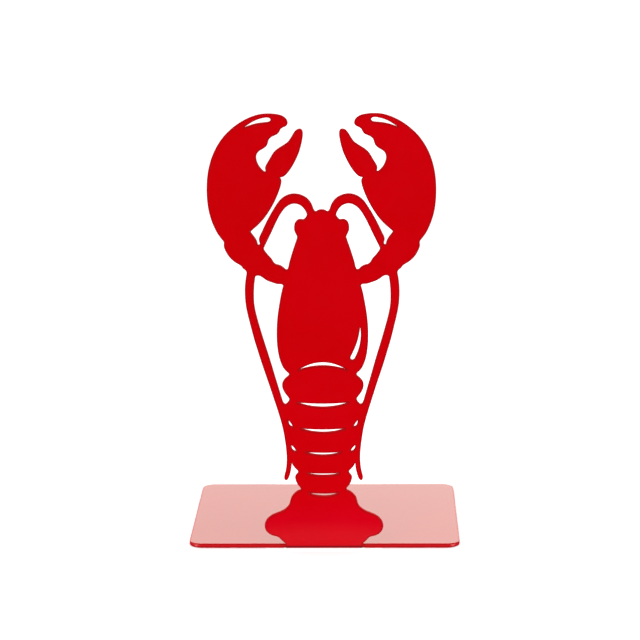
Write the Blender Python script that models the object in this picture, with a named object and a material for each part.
"""Lobster bookend: one steel sheet, profile-cut as a lobster on a rectangular foot, folded once
under the tail and coated glossy red, with four thin self-adhesive pads under the foot.

Frame: metres, +Z up, +X to the viewer's right, +Y from the lobster's front face to the books.
Origin: the middle of the footprint, on the shelf. Dimensions are in millimetres, scaled last.
"""

import math

import bmesh
import bpy
import numpy as np
from mathutils import Vector
from mathutils.geometry import delaunay_2d_cdt

MM = 0.001

# ---------------------------------------------------------------- driving dimensions
SHEET = 2.0  # steel gauge
FOLD_INNER = 0.4  # inside radius of the fold
FOLD_OUTER = FOLD_INNER + SHEET
FOLD_STEPS = 6  # facets round the quarter turn
FOOT_WIDTH = 124.0
FOOT_DEPTH = 97.8  # flat part of the foot, behind the fold
FOOT_CORNER = 5.7  # radius of its four corners
CORNER_STEPS = 6
JOIN_HALF = 17.5  # half the width that stays joined across the fold

PAD_THICK = 0.3
PAD_GAP = 0.3  # adhesive film between pad and plate
PAD_DIAMETER = 14.0
PAD_INSET = 14.0  # pad centre from the edges of the foot's flat part
PAD_SIDES = 32
PAD_CHAMFER = 0.15  # on the lower rim

CURVE_SAMPLES = 24  # spline samples between two control points
FAIRING_STEP = 0.1  # spacing of the samples that are faired
FAIRING = 0.3  # blend length that evens out curvature between control points
CRESCENT_FAIRING = 0.08
OUTLINE_TOLERANCE = 0.03  # how far a facet may leave the true curve
SHARP_ANGLE = math.radians(35)  # steeper edges are shaded sharp

STAND_OFF = PAD_THICK + PAD_GAP  # underside of the foot above the shelf
OVERALL_DEPTH = FOLD_OUTER + FOOT_DEPTH
FRONT_FACE_Y = -OVERALL_DEPTH / 2

# ---------------------------------------------------------------- the lobster's half outline
# Control points (x, height above the foot's underside) of the +X half, mirrored for the other.
# Consecutive features join smoothly; a crisp corner comes only where two runs meet.
FINGER_ROOT = (18.5, 171.75)  # the corner between the two runs
CROWN_TOP = (0.0, 157.1)

CROWN = [(1.4, 156.9), (2.7, 156.15), (3.6, 157.2)]
FEELER_ARCH = [
    (4.5, 159.6), (6.4, 162.1), (9.2, 163.7), (12.4, 164.2), (15.6, 163.4), (18.4, 161.3),
    (21.2, 157.3), (24.0, 152.4), (26.4, 147.4), (27.85, 144.0),
]
FEELER_CROTCH = [(27.5, 142.5), (27.5, 141.6), (28.1, 141.15), (28.7, 141.6), (28.85, 142.6)]
ARM_ELBOW = [(29.8, 144.5), (31.3, 146.45), (31.8, 147.3), (31.2, 148.1)]
PALM_INNER = [
    (28.6, 150.4), (26.0, 153.1), (23.8, 156.1), (21.8, 159.4), (20.1, 162.8), (18.8, 166.0),
    (18.0, 168.6), (17.8, 170.3), FINGER_ROOT,
]
FINGER_BACK = [
    FINGER_ROOT, (16.6, 172.4), (15.0, 173.9), (13.1, 176.5), (11.3, 179.8), (9.8, 183.2),
    (8.8, 186.7), (8.2, 189.9),
]
FINGER_TIP = [(8.15, 191.8), (8.6, 192.85), (9.5, 193.1), (10.8, 192.6), (12.0, 191.2)]
FINGER_BITE = [
    (13.2, 189.2), (14.5, 187.4), (16.4, 186.0), (18.8, 184.5), (20.7, 182.9), (22.0, 181.0),
    (23.2, 178.9), (24.4, 176.9),
]
JAW_THROAT = [(24.7, 175.7), (24.4, 174.7), (24.95, 174.05), (26.2, 175.0), (27.6, 176.7)]
JAW_TEETH = [
    (28.5, 178.7), (28.85, 180.5), (28.5, 182.4), (27.3, 183.8), (25.6, 184.8), (24.2, 185.9),
    (23.6, 187.2), (23.2, 188.6), (22.2, 189.75), (20.8, 190.5), (19.3, 191.2), (18.5, 192.1),
    (17.95, 193.3), (16.9, 194.1), (15.55, 194.7),
]
JAW_TIP = [(14.8, 195.6), (14.95, 196.8), (15.8, 198.0), (17.4, 199.0)]
PALM_OUTER = [
    (20.2, 199.65), (23.6, 199.85), (27.2, 199.5), (31.2, 198.25), (35.3, 196.2), (39.2, 193.4),
    (42.9, 189.8), (46.0, 185.4), (48.4, 180.2), (50.0, 174.2), (50.65, 168.0), (50.55, 161.6),
    (49.8, 156.2), (48.3, 151.2), (46.25, 146.8), (44.3, 144.1),
]
WRIST = [
    (43.45, 142.9), (43.5, 140.9), (42.6, 138.5), (40.95, 135.95), (38.8, 133.95),
    (36.75, 132.7), (35.8, 132.0), (35.15, 131.0), (34.2, 130.3),
]
FEELER_OUTER = [
    (33.55, 129.2), (34.0, 125.8), (34.4, 121.6), (34.35, 117.2), (33.9, 113.0), (33.1, 109.0),
    (31.95, 104.2), (30.65, 98.9), (29.0, 93.2), (27.3, 87.5), (25.5, 81.9), (23.75, 76.5),
    (21.95, 70.7), (20.4, 65.7), (19.1, 61.2), (18.1, 56.9), (17.35, 52.3), (16.8, 47.9),
    (16.55, 43.6), (16.65, 40.4), (17.0, 37.4),
]
FEELER_END = [
    (17.65, 34.8), (17.75, 33.65), (17.25, 32.85), (16.5, 33.15), (15.65, 34.8), (15.0, 37.2),
    (14.65, 39.1), (14.45, 40.9), (13.7, 39.8),
]
LAST_RING = [
    (13.0, 38.8), (11.9, 37.7), (11.4, 37.0), (11.5, 36.1), (12.2, 35.3), (12.8, 34.3),
    (12.6, 33.0), (11.9, 31.2), (10.8, 29.8), (10.2, 28.8), (10.45, 28.0),
]
TAIL_SHOULDER = [
    (12.0, 27.3), (13.4, 26.05), (14.45, 24.7), (15.0, 23.2), (15.45, 21.5), (16.15, 20.2),
    (17.55, 18.9), (19.25, 17.85), (21.45, 16.95), (23.45, 16.05),
]
TAIL_LOBE = [
    (25.1, 14.8), (26.3, 13.4), (26.9, 11.7), (26.8, 10.0), (26.0, 8.5), (24.7, 7.3),
    (23.0, 6.6), (21.0, 6.05),
]
TAIL_FOOT = [(20.2, 5.45), (19.2, 4.3), (18.1, 3.35), (JOIN_HALF, FOLD_OUTER)]

HEAD_RUN = CROWN + FEELER_ARCH + FEELER_CROTCH + ARM_ELBOW + PALM_INNER
SIDE_RUN = (
    FINGER_BACK + FINGER_TIP + FINGER_BITE + JAW_THROAT + JAW_TEETH + JAW_TIP + PALM_OUTER
    + WRIST + FEELER_OUTER + FEELER_END + LAST_RING + TAIL_SHOULDER + TAIL_LOBE + TAIL_FOOT
)

# ---------------------------------------------------------------- openings
# Closed curves, same columns as the outline.
FEELER_LOOP = [
    (6.35, 154.9), (6.9, 156.6), (8.05, 158.35), (9.8, 159.7), (12.3, 160.2), (14.55, 159.5),
    (16.65, 157.8), (18.65, 155.0), (20.45, 151.6), (22.3, 147.65), (24.2, 143.75),
    (25.6, 140.85), (26.05, 139.5), (25.4, 138.3), (24.0, 136.5), (22.5, 134.8), (21.7, 133.4),
    (20.6, 132.45), (18.9, 132.0), (17.4, 131.1), (16.4, 130.15), (15.5, 129.95),
    (14.95, 131.0), (14.4, 133.4), (13.4, 136.8), (12.3, 140.2), (11.2, 143.4), (10.8, 145.0),
    (11.25, 146.3), (11.95, 147.8), (12.1, 149.4), (11.7, 151.2), (10.7, 152.4), (9.4, 152.8),
    (8.1, 152.6), (7.2, 153.3),
]
SIDE_OPENING = [
    (17.25, 123.1), (17.9, 123.75), (19.9, 123.9), (22.2, 124.6), (24.6, 125.55),
    (26.4, 126.8), (27.5, 127.55), (28.9, 127.75), (29.8, 127.4), (30.15, 125.8),
    (30.55, 122.2), (30.7, 118.4), (30.6, 114.8), (30.1, 111.3), (29.2, 107.4), (27.9, 102.6),
    (26.4, 97.4), (24.7, 91.8), (23.0, 86.0), (21.5, 80.6), (20.0, 75.4), (18.85, 71.4),
    (18.2, 69.3), (17.55, 68.3), (16.8, 68.15), (16.0, 68.8), (15.3, 69.8), (15.05, 70.8),
    (15.7, 72.0), (16.7, 73.3), (17.6, 74.8), (18.15, 76.4), (18.15, 78.0), (17.4, 79.5),
    (16.3, 80.6), (15.3, 81.5), (15.0, 82.3), (15.5, 83.1), (16.6, 84.1), (17.6, 85.4),
    (18.6, 87.6), (19.4, 90.2), (20.0, 93.6), (20.35, 97.4), (20.4, 101.2), (20.25, 105.2),
    (19.8, 109.8), (19.1, 114.2), (18.3, 118.6), (17.5, 121.9),
]
RING_EYE_UPPER = [
    (13.95, 58.6), (14.4, 59.5), (15.2, 60.5), (15.95, 61.1), (15.7, 60.0), (15.4, 58.8),
    (14.9, 58.05), (13.75, 57.65),
]
RING_EYE_LOWER = [
    (12.6, 47.2), (13.15, 48.15), (13.8, 48.85), (14.5, 49.35), (14.45, 47.9), (14.0, 46.9),
    (13.35, 46.4), (12.3, 46.2),
]
CLAW_SLIT = [
    (21.95, 197.4), (22.5, 198.3), (23.8, 198.6), (25.6, 198.35), (27.6, 197.8), (29.6, 197.0),
    (31.4, 195.95), (32.8, 195.0), (33.9, 194.0), (33.0, 194.25), (31.2, 194.75),
    (29.2, 195.35), (26.8, 195.8), (24.4, 196.05), (22.6, 196.4),
]
PAIRED_OPENINGS = (FEELER_LOOP, SIDE_OPENING, RING_EYE_UPPER, RING_EYE_LOWER, CLAW_SLIT)
# The glint on the shell, cut on the +X side only
SHELL_GLINT = [
    (17.0, 103.8), (17.25, 101.8), (17.2, 98.8), (16.8, 95.8), (16.1, 93.2), (15.2, 90.9),
    (14.2, 89.0), (13.3, 88.55), (12.5, 89.0), (12.4, 90.0), (13.2, 91.8), (14.3, 94.2),
    (15.35, 97.0), (16.2, 100.1), (16.75, 103.1),
]

# Crescents across the tail: half width, height of the tips, rise of the upper edge, rise of
# the lower edge, fall-off. Each rise is measured at the middle from the line through the tips.
TAIL_CRESCENTS = [
    (10.8, 84.2, 3.72, 1.80, 0.95),
    (11.5, 69.1, -0.35, -2.28, 0.95),
    (9.9, 57.0, -0.28, -1.93, 0.90),
    (8.0, 46.0, -0.22, -1.58, 0.85),
    (7.1, 36.15, -0.12, -1.30, 0.55),
    (6.7, 26.8, -0.20, -1.72, 0.75),
]
CRESCENT_STEPS = 16  # from the middle to a tip
CRESCENT_TIP = 0.21  # half height the slit keeps towards each tip
CRESCENT_BLUNTNESS = 8  # power that rounds the tip; higher is blunter


# ---------------------------------------------------------------- curves
def mirrored(points):
    return [(-x, z) for x, z in points]


def blend(start, end, start_time, end_time, t):
    """Straight-line blend that is at start at start_time and at end at end_time."""
    span = end_time - start_time
    return (end_time - t) / span * start + (t - start_time) / span * end


def spline(points, closed):
    """Centripetal Catmull-Rom curve through the points, sampled finely."""
    control = np.array(points, float)
    if closed:
        control = np.vstack([control[-1], control, control[0], control[1]])
    else:
        before = 2 * control[0] - control[1]
        after = 2 * control[-1] - control[-2]
        control = np.vstack([before, control, after])
    curve = []
    for i in range(1, len(control) - 2):
        four = control[i - 1 : i + 3]
        knots = [0.0]
        for start, end in zip(four, four[1:]):
            knots.append(knots[-1] + math.sqrt(np.linalg.norm(end - start)))
        for t in np.linspace(knots[1], knots[2], CURVE_SAMPLES, endpoint=False):
            lines = [blend(four[k], four[k + 1], knots[k], knots[k + 1], t) for k in range(3)]
            arcs = [blend(lines[k], lines[k + 1], knots[k], knots[k + 2], t) for k in range(2)]
            curve.append(blend(arcs[0], arcs[1], knots[1], knots[2], t))
    if not closed:
        curve.append(control[-2])
    return np.array(curve)


def faired(curve, closed, length):
    """The curve resampled evenly and smoothed over the given length. Open ends stay put."""
    points = np.vstack([curve, curve[:1]]) if closed else curve
    run = np.concatenate([[0.0], np.cumsum(np.linalg.norm(np.diff(points, axis=0), axis=1))])
    count = max(12, int(round(run[-1] / FAIRING_STEP)))
    stations = np.linspace(0.0, run[-1], count + 1)
    even = np.stack([np.interp(stations, run, points[:, k]) for k in (0, 1)], axis=1)

    # Gaussian weights, cut off at three lengths
    step = run[-1] / count
    reach = int(math.ceil(3 * length / step))
    weights = np.exp(-0.5 * (np.arange(-reach, reach + 1) * step / length) ** 2)
    weights /= weights.sum()
    if closed:
        even = even[:-1]
        wide = np.vstack([even[-reach:], even, even[:reach]])
    else:
        # turning the ends half round keeps the end points where they are
        before = 2 * even[0] - even[reach:0:-1]
        after = 2 * even[-1] - even[-2 : -reach - 2 : -1]
        wide = np.vstack([before, even, after])
    return np.stack([np.convolve(wide[:, k], weights, mode="valid") for k in (0, 1)], axis=1)


def thinned(curve, closed):
    """The curve with few points, split until every facet is within the tolerance."""
    points = np.vstack([curve, curve[:1]]) if closed else curve
    last = len(points) - 1
    stops = [0, len(points) // 2, last] if closed else [0, last]
    keep = set(stops)
    spans = list(zip(stops, stops[1:]))
    while spans:
        first, end = spans.pop()
        if end - first < 2:
            continue
        chord = points[end] - points[first]
        size = np.linalg.norm(chord)
        offset = points[first + 1 : end] - points[first]
        if size > 1e-9:
            away = np.abs(offset[:, 0] * chord[1] - offset[:, 1] * chord[0]) / size
        else:
            away = np.linalg.norm(offset, axis=1)
        farthest = int(np.argmax(away))
        if away[farthest] > OUTLINE_TOLERANCE:
            middle = first + 1 + farthest
            keep.add(middle)
            spans += [(first, middle), (middle, end)]
    order = sorted(keep)
    return points[order[:-1] if closed else order]


def facets(curve, closed, fairing=FAIRING):
    return thinned(faired(curve, closed, fairing), closed)


def crescent(half, tip, upper, lower, fall_off):
    """A slit across the tail: two shallow arcs through rounded tips."""
    top, bottom = [], []
    for i in range(CRESCENT_STEPS + 1):
        along = i / CRESCENT_STEPS
        x = half * math.sin(math.pi / 2 * along)
        fall = (1 - (x / half) ** 2) ** fall_off
        pinch = CRESCENT_TIP * math.sqrt(max(0.0, 1 - along**CRESCENT_BLUNTNESS))
        top.append((x, tip + upper * fall + pinch * (1 - fall)))
        bottom.append((x, tip + lower * fall - pinch * (1 - fall)))
    return np.array(mirrored(bottom[:0:-1]) + bottom + top[-2::-1] + mirrored(top[1:-1]))


# ---------------------------------------------------------------- developed (flat) pattern
# Points are (x, s). s is the height above the fold on the upright, runs to -FOLD_LENGTH round
# the fold, and on along the foot.
FOLD_LENGTH = math.pi / 2 * FOLD_OUTER
FOLD_ROWS = [-FOLD_LENGTH * k / FOLD_STEPS for k in range(FOLD_STEPS + 1)]


def above_fold(points):
    """Heights above the foot's underside turned into s."""
    return [(x, z - FOLD_OUTER) for x, z in points]


def foot_edge():
    """The foot's outline, from the +X side of the fold round to the -X side."""
    corner_x = FOOT_WIDTH / 2 - FOOT_CORNER
    front = -FOLD_LENGTH - FOOT_CORNER
    back = -FOLD_LENGTH - FOOT_DEPTH + FOOT_CORNER
    # centre x, centre s, start angle of each corner
    corners = (
        (corner_x, front, 90), (corner_x, back, 0), (-corner_x, back, -90), (-corner_x, front, -180),
    )
    points = [(JOIN_HALF, -FOLD_LENGTH)]
    for x, s, start in corners:
        for i in range(CORNER_STEPS + 1):
            angle = math.radians(start - 90 * i / CORNER_STEPS)
            points.append((x + FOOT_CORNER * math.cos(angle), s + FOOT_CORNER * math.sin(angle)))
    return points + [(-JOIN_HALF, -FOLD_LENGTH)]


def outer_loop():
    head_run = mirrored(HEAD_RUN[::-1]) + [CROWN_TOP] + HEAD_RUN
    runs = (head_run, SIDE_RUN, mirrored(SIDE_RUN)[::-1])
    head, right, left = [facets(spline(run, False), False) for run in runs]
    inner_rows = FOLD_ROWS[1:-1]
    loop = above_fold(head[:-1]) + above_fold(right)
    loop += [(JOIN_HALF, s) for s in inner_rows]
    loop += foot_edge()
    loop += [(-JOIN_HALF, s) for s in reversed(inner_rows)]
    return loop + above_fold(left[:-1])


def inner_loops():
    outlines = []
    for points in PAIRED_OPENINGS:
        outlines += [points, mirrored(points)]
    outlines.append(SHELL_GLINT)
    loops = [facets(spline(points, True), True) for points in outlines]
    loops += [facets(crescent(*dims), True, CRESCENT_FAIRING) for dims in TAIL_CRESCENTS]
    return [above_fold(loop) for loop in loops]


def inside(point, loops):
    """Even-odd rule over all loops."""
    x, y = point
    odd = False
    for loop in loops:
        ends = np.roll(loop, -1, axis=0)
        crosses = (loop[:, 1] > y) != (ends[:, 1] > y)
        (x0, y0), (x1, y1) = loop[crosses].T, ends[crosses].T
        hits = x < x0 + (y - y0) / (y1 - y0) * (x1 - x0)
        odd ^= bool(np.count_nonzero(hits) % 2)
    return odd


def flat_pattern():
    """The pattern's points and its counter-clockwise triangles, openings left out."""
    loops = [np.array(loop) for loop in [outer_loop()] + inner_loops()]
    corners, edges = [], []
    for loop in loops:
        start = len(corners)
        corners += [Vector(point) for point in loop]
        edges += [(start + i, start + (i + 1) % len(loop)) for i in range(len(loop))]
    # fold lines across the joined width
    where = {(round(corner.x, 4), round(corner.y, 4)): i for i, corner in enumerate(corners)}
    for row in FOLD_ROWS:
        s = round(row, 4)
        edges.append((where[(JOIN_HALF, s)], where[(-JOIN_HALF, s)]))

    inside_edges = 1  # output type: only triangles enclosed by the edges
    merge_distance = 1e-5
    result = delaunay_2d_cdt(corners, edges, [], inside_edges, merge_distance)
    points, triangles = result[0], result[2]
    kept = []
    for triangle in triangles:
        a, b, c = (points[i] for i in triangle)
        if inside((Vector((0, 0)) + a + b + c) / 3, loops):
            kept.append(triangle if (b - a).cross(c - a) > 0 else triangle[::-1])
    used = sorted({i for triangle in kept for i in triangle})
    index = {old: new for new, old in enumerate(used)}
    return [points[i] for i in used], [tuple(index[i] for i in tri) for tri in kept]


def folded(point, depth):
    """A point of the flat pattern, depth below its outer face, after the fold."""
    x, s = point
    if s >= 0:
        y, z = depth, FOLD_OUTER + s
    elif s > -FOLD_LENGTH:
        angle = -s / FOLD_OUTER
        y = FOLD_OUTER - (FOLD_OUTER - depth) * math.cos(angle)
        z = FOLD_OUTER - (FOLD_OUTER - depth) * math.sin(angle)
    else:
        y, z = FOLD_OUTER - s - FOLD_LENGTH, depth
    return Vector((x, FRONT_FACE_Y + y, STAND_OFF + z)) * MM


# ---------------------------------------------------------------- materials
def principled(name, colour, roughness, coat=0.0):
    material = bpy.data.materials.new(name)
    material.use_nodes = True
    shader = material.node_tree.nodes["Principled BSDF"]
    shader.inputs["Base Color"].default_value = (*colour, 1.0)
    shader.inputs["Roughness"].default_value = roughness
    shader.inputs["Coat Weight"].default_value = coat
    return material


def red_gloss():
    return principled("red_gloss_coat", colour=(0.604, 0.0, 0.003), roughness=0.22, coat=0.6)


def pad_rubber():
    return principled("pad_rubber", colour=(0.02, 0.02, 0.021), roughness=0.8)


# ---------------------------------------------------------------- pieces
def finished_mesh(name, bm, material):
    mesh = bpy.data.meshes.new(name)
    bm.to_mesh(mesh)
    bm.free()
    mesh.shade_smooth()
    mesh.set_sharp_from_angle(angle=SHARP_ANGLE)
    mesh.materials.append(material)
    return mesh


def add_object(name, mesh=None, parent=None):
    obj = bpy.data.objects.new(name, mesh)
    obj.parent = parent
    bpy.context.scene.collection.objects.link(obj)
    return obj


def sheet_mesh(material):
    """The folded sheet: outer face, inner face and the cut edge between them."""
    points, triangles = flat_pattern()
    sides = {(tri[i], tri[(i + 1) % 3]) for tri in triangles for i in range(3)}
    rim = sorted((a, b) for a, b in sides if (b, a) not in sides)

    bm = bmesh.new()
    outer = [bm.verts.new(folded(point, 0.0)) for point in points]
    inner = [bm.verts.new(folded(point, SHEET)) for point in points]
    for a, b, c in triangles:
        bm.faces.new((outer[a], outer[b], outer[c]))
        bm.faces.new((inner[c], inner[b], inner[a]))
    for a, b in rim:
        bm.faces.new((outer[b], outer[a], inner[a], inner[b]))
    return finished_mesh("lobster_sheet", bm, material)


def pad_mesh(material):
    """A thin disc with a chamfered lower rim, its top at z = 0."""
    bm = bmesh.new()
    radius = PAD_DIAMETER / 2
    bmesh.ops.create_cone(
        bm, cap_ends=True, segments=PAD_SIDES, radius1=radius, radius2=radius, depth=PAD_THICK
    )
    bmesh.ops.translate(bm, verts=bm.verts, vec=(0, 0, -PAD_THICK / 2))
    low = [e for e in bm.edges if all(v.co.z < -PAD_THICK + 1e-4 for v in e.verts)]
    bmesh.ops.bevel(bm, geom=low, offset=PAD_CHAMFER, segments=1, affect="EDGES")
    bmesh.ops.scale(bm, verts=bm.verts, vec=(MM, MM, MM))
    return finished_mesh("pad", bm, material)


def add_pads(root):
    mesh = pad_mesh(pad_rubber())
    side_x = FOOT_WIDTH / 2 - PAD_INSET
    front_y = FRONT_FACE_Y + FOLD_OUTER + PAD_INSET
    rear_y = FRONT_FACE_Y + OVERALL_DEPTH - PAD_INSET
    for row, y in (("front", front_y), ("rear", rear_y)):
        for side, x in (("left", -side_x), ("right", side_x)):
            pad = add_object(f"pad_{row}_{side}", mesh, root)
            pad.location = (x * MM, y * MM, PAD_THICK * MM)


def main():
    for obj in list(bpy.data.objects):
        bpy.data.objects.remove(obj)
    root = add_object("bookend")
    add_object("lobster_sheet", sheet_mesh(red_gloss()), root)
    add_pads(root)


main()
